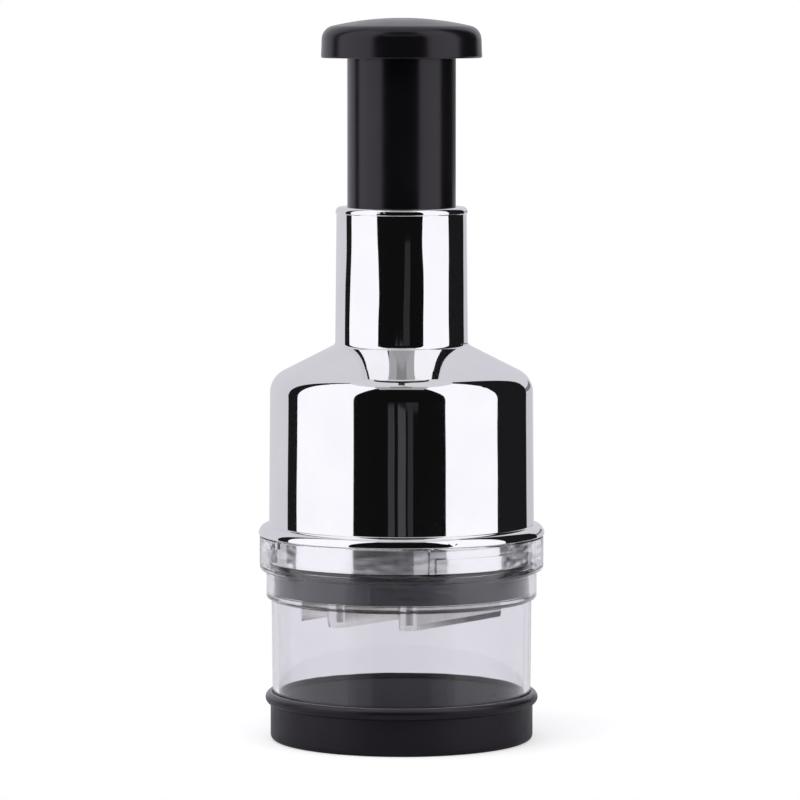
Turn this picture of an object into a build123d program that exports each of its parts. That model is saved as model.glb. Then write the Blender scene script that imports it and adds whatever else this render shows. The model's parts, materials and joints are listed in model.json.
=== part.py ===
from build123d import *
import math
import os

os.makedirs("parts", exist_ok=True)

# Driving dimensions in millimetres. Z is up, the front faces -Y, the floor is Z = 0.

# Clearances
slide_gap = 0.15        # plunger tube in its guide sleeve, per side
seat_gap = 0.2          # pieces that rest on a seat and lift off it
turn_gap = 0.3          # pieces of different bodies that pass each other
push_fit = 0.1          # pieces of one body pushed together, per side
journal_gap = 0.08      # spindle journal in the plunger web, per side
twist_gap = 0.2         # twisted bar in its nut, per side
thread_gap = 0.05       # screw thread in its hole, per side
blade_fit = 0.05        # blade strip in the carrier groove, per side
slot_gap = 0.45         # blade strip in the stripper slot, per side
root = 0.2              # how deep a lug, rib or boss runs into what carries it
touch = 0.01            # half width of the band in which an edge is picked by height

# Clear cup
cup_r_low = 40.9        # outer radius at the foot
cup_draft = 0.3
cup_wall = 2.0
cup_h = 35.0            # foot to step
step_out = 1.6
step_floor = 1.6
step_h = 8.9            # step to collar
collar_out = 2.1
collar_floor = 1.9
collar_h = 11.1         # collar to rim
collar_wall = 1.9
cup_foot_round = 0.5
cup_r_high = cup_r_low + cup_draft
step_r = cup_r_high + step_out
step_bore_r = step_r - cup_wall
collar_r = step_r + collar_out
collar_bore_r = collar_r - collar_wall
step_round = min(1.0, 0.63 * step_out)
step_root = min(0.45, 0.29 * step_out)
collar_round = min(1.4, 0.67 * collar_out)
collar_root = min(0.4, 0.2 * collar_out)

# Base cap
rim_t = 0.5             # rim round the cup's foot
rim_h = 5.4
base_wall = 2.6
lip_out = 1.6
lip_top_out = 0.4
lip_up = 1.6            # foot of the lip above the cup's seat
cup_seat_z = 9.8
seat_t = 2.0
board_up = 4.0          # board above the cup's seat
board_t = 2.4
board_gap = 0.5         # board inside the cup's wall
foot_round = 1.6
board_round = 0.6
base_rib_count = 8
base_rib_t = 1.6
base_rib_z = 2.5
base_hub_r = 7.0
base_hub_wall = 1.6
base_r = cup_r_low + seat_gap + rim_t
lip_r = base_r + lip_out
lip_low_z = cup_seat_z + lip_up
lip_top_z = cup_seat_z + rim_h
board_r = cup_r_low - cup_wall - board_gap
board_top_z = cup_seat_z + board_up

# Heights of the cup
cup_foot_z = cup_seat_z + seat_gap
step_z = cup_foot_z + cup_h
step_ledge_z = step_z + step_floor
collar_z = step_z + step_h
collar_ledge_z = collar_z + collar_floor
cup_top_z = collar_z + collar_h

# Seal ring on the collar ledge
seal_h = 0.8
seal_side = 0.3         # from the bore of the step

# Bayonet: three lugs, the first one to the right of the front
lug_count = 3
lug_centre = -58.5
cup_lug_span = 40.0
cup_lug_in = 1.2        # lugs stand in from the collar bore
cup_lug_t = 2.2
cup_lug_drop = 1.0      # below the cup's rim
stop_span = 2.6
shell_lug_span = 34.0
shell_lug_up = 0.4
cup_lug_r = collar_bore_r - cup_lug_in
cup_lug_z1 = cup_top_z - cup_lug_drop
cup_lug_z0 = cup_lug_z1 - cup_lug_t
skirt_z = collar_ledge_z + seal_h + turn_gap
shell_lug_r = collar_bore_r - turn_gap
shell_lug_z0 = skirt_z + shell_lug_up
shell_lug_z1 = cup_lug_z0 - turn_gap

# Travel and index angle of one press
travel = 24.0
index_deg = 30.0
twist_per_mm = -index_deg / travel

# Plunger and the parts that fit in it, from the tube inwards
tube_r = 17.1
tube_wall = 2.0
tube_foot_t = 2.5
tube_foot_out = 2.9
web_t = 3.0
web_up = 31.7           # web above the tube's foot
wire_d = 1.6
spring_side = 2.1       # spring inside the tube
hub_side = 0.8          # spring round the hub
hub_wall = 1.9
nut_wall = 2.8
bar_corner = 1.3        # corners of the bar stand out from its flats
spring_turns = 10.0
spring_washer_t = 0.8
spindle_bite = 13.0     # thread of the spindle screw
bar_steps = 7           # sections along the twisted bar
bore_steps = 3          # and along the nut's bore
points_per_turn = 48    # in the check of the coil's gap
tube_foot_r = tube_r + tube_foot_out
tube_bore_r = tube_r - tube_wall
spring_r = tube_bore_r - spring_side - wire_d / 2
hub_r = spring_r - wire_d / 2 - hub_side
nut_r = hub_r - hub_wall - push_fit
bar_corner_r = nut_r - nut_wall - twist_gap
bar_side = 2 * (bar_corner_r - bar_corner)
shank_r = 4.2
journal_r = 3.0
drive_hole_side = 1.2   # bridge and retainer round the bar
drive_hole_r = max(bar_corner_r, shank_r) + drive_hole_side

# Stripper
strip_gap = 0.5
strip_room = 0.4        # below the skirt
strip_floor_t = 1.8
strip_wall = 1.7
strip_r = step_bore_r - strip_gap
strip_z0 = step_ledge_z + turn_gap
strip_z1 = skirt_z - strip_room

# Small screws of the carrier and the large ones of the bridge and the spindle
small_screw_r = 1.05
small_head_r = 2.0
small_head_h = 1.4
small_slot_w = 0.5
small_slot_l = 2.2
small_slot_d = 0.7
large_screw_r = 1.5
large_head_r = 2.9
large_head_h = 2.0
large_slot_w = 0.6
large_slot_l = 3.0
large_slot_d = 1.0
large_bite = 11.0       # thread in the boss
head_gap = 0.4

# Carrier and spindle flange
carrier_side = 1.6      # carrier inside the stripper's wall
carrier_t = 4.0
carrier_gap = 0.6       # above the stripper's floor at the end of the stroke
blade_hold = 3.2        # blade in the carrier's groove
carrier_boss_h = 2.4    # boss that takes the screws, above the blade
small_bite = 3.0        # thread in the carrier
spin_flange_t = 2.2
spin_flange_rim = 4.0
screw_turn = 21.4
carrier_r = strip_r - strip_wall - carrier_side
carrier_z0 = strip_z0 + strip_floor_t + travel + carrier_gap
carrier_z1 = carrier_z0 + carrier_t
blade_top_z = carrier_z0 + blade_hold
carrier_boss_z = carrier_z1 + carrier_boss_h
spin_flange_z = carrier_boss_z + spin_flange_t
screw_at_r = bar_corner_r + small_head_r + head_gap
spin_flange_r = screw_at_r + spin_flange_rim

# Blade strip: one half of its folded line, the other half is the same turned half round
blade_t = 0.8
blade_bend_r = 2.4
blade_bevel = 1.8
blade_edge = 0.28
end_in = 4.9            # strip end in from the carrier's rim
front_fold_in = 5.2
back_fold_in = 6.1
front_fold_flat = 0.3
back_fold_flat = 0.8
end_turn = 190.8
front_fold_turn = 95.8
front_fold_dir = -25.6
back_fold_turn = 221.3
back_fold_dir = -34.8
blade_low_z = board_top_z + turn_gap + travel

# Bridge, nut, ratchet and retainer
retainer_t = 1.8
retainer_gap = 1.0      # above the carrier screws
wheel_gap = 0.2         # above and below the ratchet wheel
ratchet_t = 3.4
bridge_t = 3.0
hub_h = 4.0
hub_lip = 0.8           # above the nut
wheel_out = 3.1         # tooth roots out from the nut
tooth_h = 1.5
tooth_count = 12
tooth_lean = 0.4
pocket_side = 4.4       # pocket out from the tooth tips
pocket_wall = 3.8
bridge_rim = 2.6
arm_w = 11.0
pad_out = 1.5
boss_r = 4.0
boss_neck = 1.2
boss_in = 6.1           # boss in from the shell's bore
boss_rib_t = 2.0
boss_turn = 30.0
key_w = 2.8             # keys of the pawl ring
key_in = 1.0
pin_r = 0.9             # retainer screws
pin_head_r = 1.45
pin_land = 0.1
pin_bite = 4.0
pawl_ring_wall = 1.65
pawl_tip_gap = 0.35
pawl_tip_t = 0.85
pawl_lag = 1.6          # pawl angles in degrees
pawl_reach = 34.0
pawl_root = 39.0
retainer_z0 = spin_flange_z + small_head_h + retainer_gap
pocket_z0 = retainer_z0 + retainer_t
ratchet_z0 = pocket_z0 + wheel_gap
bridge_z0 = ratchet_z0 + ratchet_t + wheel_gap
bridge_z1 = bridge_z0 + bridge_t
hub_z1 = bridge_z1 + hub_h
nut_top_z = hub_z1 - hub_lip
tooth_root_r = nut_r + wheel_out
tooth_tip_r = tooth_root_r + tooth_h
pocket_r = tooth_tip_r + pocket_side
pocket_out_r = pocket_r + pocket_wall
pin_at_r = (pocket_r + pocket_out_r) / 2
pin_cone = pin_head_r - pin_r

# Heights of the plunger and the spring
foot_room = 2.4         # under the tube's foot at the end of the stroke
tube_foot_z = bridge_z1 + travel + foot_room
web_z = tube_foot_z + web_up
spring_low_z = bridge_z1
spring_high_z = web_z - spring_washer_t
bar_top_z = nut_top_z + travel + turn_gap

# Guide sleeve and chrome shell
sleeve_wall = 1.35
groove_w = 3.0
groove_d = 0.6
groove_end = 8.0
neck_wall = 1.8
neck_draft = 0.45
neck_h = 43.45
neck_lip_t = 2.0
neck_round = 1.6
bead_out = 0.3
bead_h = 2.2
bead_ramp = 0.2
bead_round = 1.5
cone_h = 10.45
foot_drop = 5.95        # tube's foot below the neck
shell_wall = 2.0
bore_draft = 0.2
shoulder_round = 7.6
body_draft = 0.4
body_out = 0.4
skirt_wall = 1.8
flange_out = 0.3
flange_h = 3.2
flange_root = 0.3
sleeve_bore_r = tube_r + slide_gap
sleeve_r = sleeve_bore_r + sleeve_wall
sleeve_low_z = tube_foot_z + tube_foot_t + push_fit
neck_bore_r = sleeve_r + push_fit
neck_r_high = neck_bore_r + neck_wall
neck_r_low = neck_r_high + neck_draft
neck_bead_r = neck_r_high + bead_out
neck_lip_r = tube_r + turn_gap
neck_low_z = tube_foot_z + foot_drop
neck_top_z = neck_low_z + neck_h
neck_lip_z = neck_top_z - neck_lip_t
neck_bead_z = neck_top_z - bead_h
shoulder_z = neck_low_z - cone_h
skirt_r = cup_lug_r - turn_gap
skirt_bore_r = skirt_r - skirt_wall
body_r_low = skirt_r + body_out
body_r_high = body_r_low - body_draft
bore_high_r = body_r_high - shell_wall - bore_draft
boss_at_r = bore_high_r - boss_in
flange_r = collar_r + flange_out
flange_z0 = cup_top_z + seat_gap
flange_z1 = flange_z0 + flange_h
flange_round = min(flange_h, flange_r - body_r_low) - flange_root - push_fit

# Knob
knob_over = 8.25        # knob stands out from the tube
knob_draft = 0.35
knob_side = 9.3
knob_wall = 2.3
knob_round = 4.4
dome_h = 3.3
tube_show = 46.7        # tube in view between neck and knob
socket_depth = 6.0
socket_wall = 1.9
socket_lip = 2.4
knob_rib_count = 8
knob_rib_t = 1.4
knob_rib_up = 2.0
knob_r = tube_r + knob_over
edge_r = knob_r - knob_draft
knob_low_z = neck_top_z + tube_show
knob_edge_z = knob_low_z + knob_side
knob_top_z = knob_edge_z + dome_h
tube_top_z = knob_low_z + socket_depth

# Washers on the spindle
washer_reach = 1.6      # spring washer in from the spring
thrust_rim = 3.4        # thrust washer round the journal
lift_washer_r = 6.5
lift_washer_t = 1.0
end_play = 0.05
spring_washer_bore_r = spring_r - wire_d / 2 - washer_reach
thrust_washer_r = journal_r + thrust_rim


def polar(radius, degrees):
    turn = math.radians(degrees)
    return (radius * math.cos(turn), radius * math.sin(turn))


def beyond(point, length, degrees):
    reach = polar(length, degrees)
    return (point[0] + reach[0], point[1] + reach[1])


def near(shape_list, across, up):
    return shape_list.sort_by_distance((across, up, 0))[0]


# Base cap: board, seat for the cup, rolled lip, ribs below
with BuildPart() as base_cap:
    with BuildSketch(Plane.XZ):
        with BuildLine():
            Line((base_r - base_wall, 0), (base_r, 0))
            Line((base_r, 0), (base_r, lip_low_z))
            ThreePointArc(
                (base_r, lip_low_z),
                (lip_r, (lip_low_z + lip_top_z) / 2),
                (base_r + lip_top_out, lip_top_z),
            )
            Polyline(
                (base_r + lip_top_out, lip_top_z),
                (cup_r_low + seat_gap, lip_top_z),
                (cup_r_low + seat_gap, cup_seat_z),
                (board_r, cup_seat_z),
                (board_r, board_top_z),
                (0, board_top_z),
                (0, board_top_z - board_t),
                (board_r - seat_t, board_top_z - board_t),
                (board_r - seat_t, cup_seat_z - seat_t),
                (base_r - base_wall, cup_seat_z - seat_t),
                (base_r - base_wall, 0),
            )
        make_face()
    revolve(axis=Axis.Z)
    foot_edge = base_cap.edges().filter_by(GeomType.CIRCLE).group_by(Axis.Z)[0].sort_by(SortBy.RADIUS)[-1]
    fillet(foot_edge, radius=foot_round)
    board_edge = base_cap.edges().filter_by(GeomType.CIRCLE).filter_by_position(
        Axis.Z, board_top_z - touch, board_top_z + touch)
    fillet(board_edge, radius=board_round)
    rib_in_r = base_hub_r - base_hub_wall / 2
    rib_out_r = board_r - seat_t + root
    with BuildSketch(Plane.XY.offset(base_rib_z)):
        with PolarLocations((rib_in_r + rib_out_r) / 2, base_rib_count):
            Rectangle(rib_out_r - rib_in_r, base_rib_t)
        Circle(base_hub_r)
        Circle(base_hub_r - base_hub_wall, mode=Mode.SUBTRACT)
    extrude(amount=board_top_z - board_t + root - base_rib_z)
base_cap.part.label = "base_cap"
export_step(base_cap.part, "parts/base_cap.step")

# Clear cup with its step, collar, bayonet lugs and stop ribs
with BuildPart() as clear_cup:
    with BuildSketch(Plane.XZ) as cup_profile:
        with BuildLine():
            Polyline(
                (cup_r_low - cup_wall, cup_foot_z),
                (cup_r_low, cup_foot_z),
                (cup_r_high, step_z),
                (step_r, step_z),
                (step_r, collar_z),
                (collar_r, collar_z),
                (collar_r, cup_top_z),
                (collar_bore_r, cup_top_z),
                (collar_bore_r, collar_ledge_z),
                (step_bore_r, collar_ledge_z),
                (step_bore_r, step_ledge_z),
                (cup_r_high - cup_wall, step_ledge_z),
                close=True,
            )
        make_face()
        fillet(near(cup_profile.vertices(), step_r, step_z), radius=step_round)
        fillet(near(cup_profile.vertices(), cup_r_high, step_z), radius=step_root)
        fillet(near(cup_profile.vertices(), collar_r, collar_z), radius=collar_round)
        fillet(near(cup_profile.vertices(), step_r, collar_z), radius=collar_root)
        fillet(near(cup_profile.vertices(), collar_r, cup_top_z), radius=collar_root)
        fillet(near(cup_profile.vertices(), step_bore_r, step_ledge_z), radius=step_root / 2)
        fillet(near(cup_profile.vertices(), cup_r_low - cup_wall, cup_foot_z), radius=cup_foot_round)
        fillet(near(cup_profile.vertices(), cup_r_low, cup_foot_z), radius=cup_foot_round)
    revolve(axis=Axis.Z)
    for turn in range(lug_count):
        first = lug_centre - cup_lug_span / 2 + 360.0 * turn / lug_count
        for span, low_z in ((cup_lug_span, cup_lug_z0), (stop_span, collar_ledge_z - root)):
            with BuildSketch(Plane.XY.offset(low_z)):
                with BuildLine():
                    outer = CenterArc((0, 0), collar_bore_r + root, first, span)
                    inner = CenterArc((0, 0), cup_lug_r, first, span)
                    Line(outer @ 0, inner @ 0)
                    Line(outer @ 1, inner @ 1)
                make_face()
            extrude(amount=cup_lug_z1 - low_z)
clear_cup.part.label = "clear_cup"
export_step(clear_cup.part, "parts/clear_cup.step")

# Seal ring on the collar ledge
seal_in_r = step_bore_r + seal_side
seal_out_r = cup_lug_r - push_fit
with BuildPart() as seal_ring:
    with BuildSketch(Plane.XZ) as seal_profile:
        with Locations(((seal_in_r + seal_out_r) / 2, collar_ledge_z + seal_h / 2)):
            Rectangle(seal_out_r - seal_in_r, seal_h)
        fillet(seal_profile.vertices(), radius=min(0.3 * seal_h, 0.42 * (seal_out_r - seal_in_r)))
    revolve(axis=Axis.Z)
seal_ring.part.label = "seal_ring"
export_step(seal_ring.part, "parts/seal_ring.step")

# Chrome shell: skirt, flange, body, shoulder, neck, screw bosses
cone_fall = cone_h / (body_r_high - neck_r_low)
cone_lift = shell_wall * math.sqrt(1 + cone_fall ** 2)


def cone_under_z(radius):
    return neck_low_z - cone_fall * (radius - neck_r_low) - cone_lift


with BuildPart() as chrome_shell:
    with BuildSketch(Plane.XZ) as shell_profile:
        with BuildLine():
            Polyline(
                (skirt_bore_r, skirt_z),
                (skirt_r, skirt_z),
                (skirt_r, flange_z0),
                (flange_r, flange_z0),
                (flange_r, flange_z1),
                (body_r_low, flange_z1),
                (body_r_high, shoulder_z),
                (neck_r_low, neck_low_z),
                (neck_r_high, neck_bead_z),
                (neck_bead_r, neck_bead_z + bead_ramp),
                (neck_bead_r, neck_top_z),
                (neck_lip_r, neck_top_z),
                (neck_lip_r, neck_lip_z),
                (neck_bore_r, neck_lip_z),
                (neck_bore_r, cone_under_z(neck_bore_r)),
                (bore_high_r, cone_under_z(bore_high_r)),
                close=True,
            )
        make_face()
        fillet(near(shell_profile.vertices(), body_r_high, shoulder_z), radius=shoulder_round)
        fillet(
            near(shell_profile.vertices(), bore_high_r, cone_under_z(bore_high_r)),
            radius=shoulder_round - shell_wall,
        )
        fillet(near(shell_profile.vertices(), neck_r_low, neck_low_z), radius=neck_round)
        fillet(near(shell_profile.vertices(), flange_r, flange_z1), radius=flange_round)
        fillet(near(shell_profile.vertices(), flange_r, flange_z0), radius=flange_root)
        fillet(near(shell_profile.vertices(), body_r_low, flange_z1), radius=flange_root)
        fillet(near(shell_profile.vertices(), neck_bead_r, neck_top_z), radius=bead_round)
        fillet(near(shell_profile.vertices(), neck_lip_r, neck_top_z), radius=bead_round / 3)
        fillet(near(shell_profile.vertices(), neck_bead_r, neck_bead_z + bead_ramp), radius=bead_ramp)
    revolve(axis=Axis.Z)
    for turn in range(lug_count):
        first = lug_centre - shell_lug_span / 2 + 360.0 * turn / lug_count
        with BuildSketch(Plane.XY.offset(shell_lug_z0)):
            with BuildLine():
                outer = CenterArc((0, 0), shell_lug_r, first, shell_lug_span)
                inner = CenterArc((0, 0), skirt_r - root, first, shell_lug_span)
                Line(outer @ 0, inner @ 0)
                Line(outer @ 1, inner @ 1)
            make_face()
        extrude(amount=shell_lug_z1 - shell_lug_z0)
    boss_top_z = cone_under_z(boss_at_r + boss_r) + cone_lift / 2
    boss_rib_l = bore_high_r + root - boss_at_r
    with BuildSketch(Plane.XY.offset(bridge_z1)):
        with PolarLocations(boss_at_r, lug_count, start_angle=boss_turn):
            Circle(boss_r)
        with PolarLocations(boss_at_r + boss_rib_l / 2, lug_count, start_angle=boss_turn):
            Rectangle(boss_rib_l, boss_rib_t)
    extrude(amount=boss_top_z - bridge_z1)
    neck_boss_r = boss_r - boss_neck
    with BuildSketch(Plane.XY.offset(bridge_z1)):
        with PolarLocations(boss_at_r, lug_count, start_angle=boss_turn):
            Circle(neck_boss_r)
    extrude(amount=cone_under_z(boss_at_r + neck_boss_r) + cone_lift / 2 - bridge_z1)
    with BuildSketch(Plane.XY.offset(bridge_z1)):
        with PolarLocations(boss_at_r, lug_count, start_angle=boss_turn):
            Circle(large_screw_r)
    extrude(amount=large_bite + large_screw_r, mode=Mode.SUBTRACT)
chrome_shell.part.label = "chrome_shell"
export_step(chrome_shell.part, "parts/chrome_shell.step")

# Guide sleeve inside the neck, with grease grooves in its bore
sleeve_top_z = neck_lip_z - push_fit
with BuildPart() as guide_sleeve:
    with BuildSketch(Plane.XZ) as sleeve_profile:
        with BuildLine():
            Polyline(
                (sleeve_bore_r, sleeve_low_z),
                (sleeve_r, sleeve_low_z),
                (sleeve_r, sleeve_top_z),
                (sleeve_bore_r, sleeve_top_z),
                close=True,
            )
        make_face()
        chamfer(near(sleeve_profile.vertices(), sleeve_bore_r, sleeve_top_z), length=sleeve_wall / 3)
        chamfer(near(sleeve_profile.vertices(), sleeve_r, sleeve_top_z), length=sleeve_wall / 3)
    revolve(axis=Axis.Z)
    with BuildSketch(Plane.XY.offset(sleeve_low_z + groove_end)):
        with PolarLocations(sleeve_bore_r, lug_count):
            Rectangle(2 * groove_d, groove_w)
    extrude(amount=sleeve_top_z - sleeve_low_z - 2 * groove_end, mode=Mode.SUBTRACT)
guide_sleeve.part.label = "guide_sleeve"
export_step(guide_sleeve.part, "parts/guide_sleeve.step")

# Bridge plate: three arms, spring hub, ratchet pocket with keyways
with BuildPart() as bridge_plate:
    with BuildSketch(Plane.XY.offset(bridge_z0)):
        Circle(pocket_out_r + bridge_rim)
        with PolarLocations(boss_at_r / 2, lug_count, start_angle=boss_turn):
            Rectangle(boss_at_r, arm_w)
        with PolarLocations(boss_at_r, lug_count, start_angle=boss_turn):
            Circle(boss_r + pad_out)
    extrude(amount=bridge_t)
    with BuildSketch(Plane.XY.offset(bridge_z1 - root)):
        Circle(hub_r)
    extrude(amount=hub_h + root)
    with BuildSketch(Plane.XY.offset(pocket_z0)):
        Circle(pocket_out_r)
        Circle(pocket_r, mode=Mode.SUBTRACT)
    extrude(amount=bridge_z0 - pocket_z0 + root)
    with BuildSketch(Plane.XY.offset(pocket_z0)):
        Circle(nut_r + push_fit)
    extrude(amount=nut_top_z - hub_lip - pocket_z0, mode=Mode.SUBTRACT)
    with BuildSketch(Plane.XY.offset(pocket_z0)):
        Circle(drive_hole_r)
    extrude(amount=hub_z1 - pocket_z0, mode=Mode.SUBTRACT)
    with BuildSketch(Plane.XY.offset(pocket_z0)):
        with PolarLocations(pocket_r, lug_count, start_angle=90):
            Rectangle(2 * (key_in + push_fit), key_w + 4 * push_fit)
    extrude(amount=bridge_z0 - pocket_z0, mode=Mode.SUBTRACT)
    with BuildSketch(Plane.XY.offset(pocket_z0)):
        with PolarLocations(pin_at_r, lug_count, start_angle=boss_turn):
            Circle(pin_r + thread_gap)
    extrude(amount=bridge_z0 - pocket_z0 + bridge_t / 3, mode=Mode.SUBTRACT)
    with BuildSketch(Plane.XY.offset(bridge_z0)):
        with PolarLocations(boss_at_r, lug_count, start_angle=boss_turn):
            Circle(large_screw_r + seat_gap)
    extrude(amount=bridge_t, mode=Mode.SUBTRACT)
bridge_plate.part.label = "bridge_plate"
export_step(bridge_plate.part, "parts/bridge_plate.step")

# Three screws that hold the bridge to the shell bosses
with BuildPart() as bridge_screws:
    with BuildSketch(Plane.XY.offset(bridge_z0 - large_head_h)):
        with PolarLocations(boss_at_r, lug_count, start_angle=boss_turn):
            Circle(large_head_r)
    extrude(amount=large_head_h)
    head_rims = bridge_screws.edges().filter_by(GeomType.CIRCLE).group_by(Axis.Z)[0]
    fillet(head_rims, radius=large_head_h / 3)
    with BuildSketch(Plane.XY.offset(bridge_z0 - root)):
        with PolarLocations(boss_at_r, lug_count, start_angle=boss_turn):
            Circle(large_screw_r - thread_gap)
    extrude(amount=root + bridge_t + large_bite)
    with BuildSketch(Plane.XY.offset(bridge_z0 - large_head_h)):
        with PolarLocations(boss_at_r, lug_count, start_angle=boss_turn):
            Rectangle(large_slot_l, large_slot_w)
            Rectangle(large_slot_w, large_slot_l)
    extrude(amount=large_slot_d, mode=Mode.SUBTRACT)
bridge_screws.part.label = "bridge_screws"
export_step(bridge_screws.part, "parts/bridge_screws.step")

# Return spring: one coil with ground ends, between the bridge and the plunger web
spring_span = spring_high_z - spring_low_z
spring_pitch = spring_span / spring_turns
with BuildPart() as return_spring:
    with BuildLine() as coil_line:
        coil = Helix(spring_pitch, spring_span + wire_d, spring_r, center=(0, 0, spring_low_z - wire_d / 2))
    with BuildSketch(Plane(origin=coil @ 0, z_dir=coil % 0)):
        Circle(wire_d / 2)
    sweep(path=coil_line.line, is_frenet=True)
    with BuildSketch(Plane.XY.offset(spring_low_z)):
        Circle(spring_r + wire_d)
    extrude(amount=spring_span, mode=Mode.INTERSECT)
return_spring.part.label = "return_spring"
export_step(return_spring.part, "parts/return_spring.step")
coil_points = []
for step in range(int(spring_turns * points_per_turn) + 1):
    across = polar(spring_r, 360.0 * step / points_per_turn)
    coil_points.append((across[0], across[1], spring_pitch * step / points_per_turn))
coil_gap = min(
    math.dist(coil_points[i], coil_points[j]) - wire_d
    for i in range(len(coil_points))
    for j in range(i + points_per_turn // 2, min(i + points_per_turn * 3 // 2, len(coil_points)))
)
print("return spring least gap to itself", round(coil_gap, 2), "mm")

# Steel washer between the spring and the plunger web
with BuildPart() as spring_washer:
    with BuildSketch(Plane.XY.offset(spring_high_z)):
        Circle(tube_bore_r - turn_gap)
        Circle(spring_washer_bore_r, mode=Mode.SUBTRACT)
    extrude(amount=spring_washer_t)
spring_washer.part.label = "spring_washer"
export_step(spring_washer.part, "parts/spring_washer.step")

# Plunger tube with its foot flange and inner web
with BuildPart() as plunger_tube:
    with BuildSketch(Plane.XZ) as tube_profile:
        with BuildLine():
            Polyline(
                (tube_bore_r, tube_foot_z),
                (tube_foot_r, tube_foot_z),
                (tube_foot_r, tube_foot_z + tube_foot_t),
                (tube_r, tube_foot_z + tube_foot_t),
                (tube_r, tube_top_z),
                (tube_bore_r, tube_top_z),
                (tube_bore_r, web_z + web_t),
                (journal_r + journal_gap, web_z + web_t),
                (journal_r + journal_gap, web_z),
                (tube_bore_r, web_z),
                close=True,
            )
        make_face()
        fillet(near(tube_profile.vertices(), tube_foot_r, tube_foot_z), radius=tube_foot_t / 3)
        fillet(near(tube_profile.vertices(), tube_r, tube_top_z), radius=tube_wall / 4)
        fillet(near(tube_profile.vertices(), tube_bore_r, web_z + web_t), radius=web_t / 4)
    revolve(axis=Axis.Z)
plunger_tube.part.label = "plunger_tube"
export_step(plunger_tube.part, "parts/plunger_tube.step")

# Knob cap: domed shell with a socket for the tube and ribs below
dome_r = (edge_r ** 2 + dome_h ** 2) / (2 * dome_h)
dome_in_r = dome_r - knob_wall
dome_mid_z = knob_top_z - dome_r


def dome_z(sphere_r, across):
    return dome_mid_z + math.sqrt(sphere_r ** 2 - across ** 2)


bore_r = edge_r - knob_wall
skirt_in_r = knob_r - knob_wall
socket_r = tube_r + push_fit
socket_out_r = socket_r + socket_wall
socket_lip_r = socket_r - socket_lip
socket_top_z = (dome_z(dome_in_r, socket_lip_r) + dome_z(dome_r, socket_out_r)) / 2
with BuildPart() as knob_cap:
    with BuildSketch(Plane.XZ) as knob_profile:
        with BuildLine():
            Line((knob_r, knob_low_z), (edge_r, knob_edge_z))
            ThreePointArc((edge_r, knob_edge_z), (edge_r / 2, dome_z(dome_r, edge_r / 2)), (0, knob_top_z))
            Line((0, knob_top_z), (0, knob_top_z - knob_wall))
            ThreePointArc(
                (0, knob_top_z - knob_wall),
                (bore_r / 2, dome_z(dome_in_r, bore_r / 2)),
                (bore_r, dome_z(dome_in_r, bore_r)),
            )
            Line((bore_r, dome_z(dome_in_r, bore_r)), (skirt_in_r, knob_low_z))
            Line((skirt_in_r, knob_low_z), (knob_r, knob_low_z))
        make_face()
        fillet(near(knob_profile.vertices(), edge_r, knob_edge_z), radius=knob_round)
        fillet(near(knob_profile.vertices(), bore_r, dome_z(dome_in_r, bore_r)), radius=knob_round - knob_wall)
        fillet(near(knob_profile.vertices(), knob_r, knob_low_z), radius=knob_wall / 4)
    revolve(axis=Axis.Z)
    with BuildSketch(Plane.XY.offset(knob_low_z + seat_gap)):
        Circle(socket_out_r)
        Circle(socket_r, mode=Mode.SUBTRACT)
    extrude(amount=socket_top_z - knob_low_z - seat_gap)
    with BuildSketch(Plane.XY.offset(tube_top_z + push_fit)):
        Circle(socket_r + root)
        Circle(socket_lip_r, mode=Mode.SUBTRACT)
    extrude(amount=socket_top_z - tube_top_z - push_fit)
    rib_in_r = socket_out_r - root
    rib_out_r = skirt_in_r + root
    with BuildSketch(Plane.XY.offset(knob_low_z + knob_rib_up)):
        with PolarLocations((rib_in_r + rib_out_r) / 2, knob_rib_count):
            Rectangle(rib_out_r - rib_in_r, knob_rib_t)
    extrude(amount=knob_edge_z - knob_wall - knob_low_z - knob_rib_up)
knob_cap.part.label = "knob_cap"
export_step(knob_cap.part, "parts/knob_cap.step")

# Drive spindle: flange, twisted square bar, shank, journal
bar_low_z = spin_flange_z
journal_top_z = web_z + web_t + push_fit
with BuildPart() as drive_spindle:
    for step in range(bar_steps + 1):
        up = bar_low_z + (bar_top_z - bar_low_z) * step / bar_steps
        facing = polar(1, twist_per_mm * (up - bar_low_z))
        with BuildSketch(Plane(origin=(0, 0, up), x_dir=(facing[0], facing[1], 0), z_dir=(0, 0, 1))):
            Rectangle(bar_side, bar_side)
            Circle(bar_corner_r, mode=Mode.INTERSECT)
    loft()
    with BuildSketch(Plane.XY.offset(carrier_boss_z)):
        Circle(spin_flange_r)
    extrude(amount=spin_flange_t)
    with BuildSketch(Plane.XY.offset(bar_top_z)):
        Circle(shank_r)
    extrude(amount=spring_high_z - bar_top_z)
    with BuildSketch(Plane.XY.offset(spring_high_z)):
        Circle(journal_r)
    extrude(amount=journal_top_z - spring_high_z)
    with BuildSketch(Plane.XY.offset(journal_top_z)):
        Circle(large_screw_r)
    extrude(amount=-spindle_bite - large_screw_r, mode=Mode.SUBTRACT)
    with BuildSketch(Plane.XY.offset(carrier_boss_z)):
        with PolarLocations(screw_at_r, lug_count, start_angle=screw_turn):
            Circle(small_screw_r + push_fit)
    extrude(amount=spin_flange_t, mode=Mode.SUBTRACT)
drive_spindle.part.label = "drive_spindle"
export_step(drive_spindle.part, "parts/drive_spindle.step")

# Thrust washer under the web and lift washer above it
with BuildPart() as thrust_washer:
    with BuildSketch(Plane.XY.offset(spring_high_z + end_play)):
        Circle(thrust_washer_r)
        Circle(journal_r + journal_gap, mode=Mode.SUBTRACT)
    extrude(amount=spring_washer_t - 2 * end_play)
thrust_washer.part.label = "thrust_washer"
export_step(thrust_washer.part, "parts/thrust_washer.step")

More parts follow.
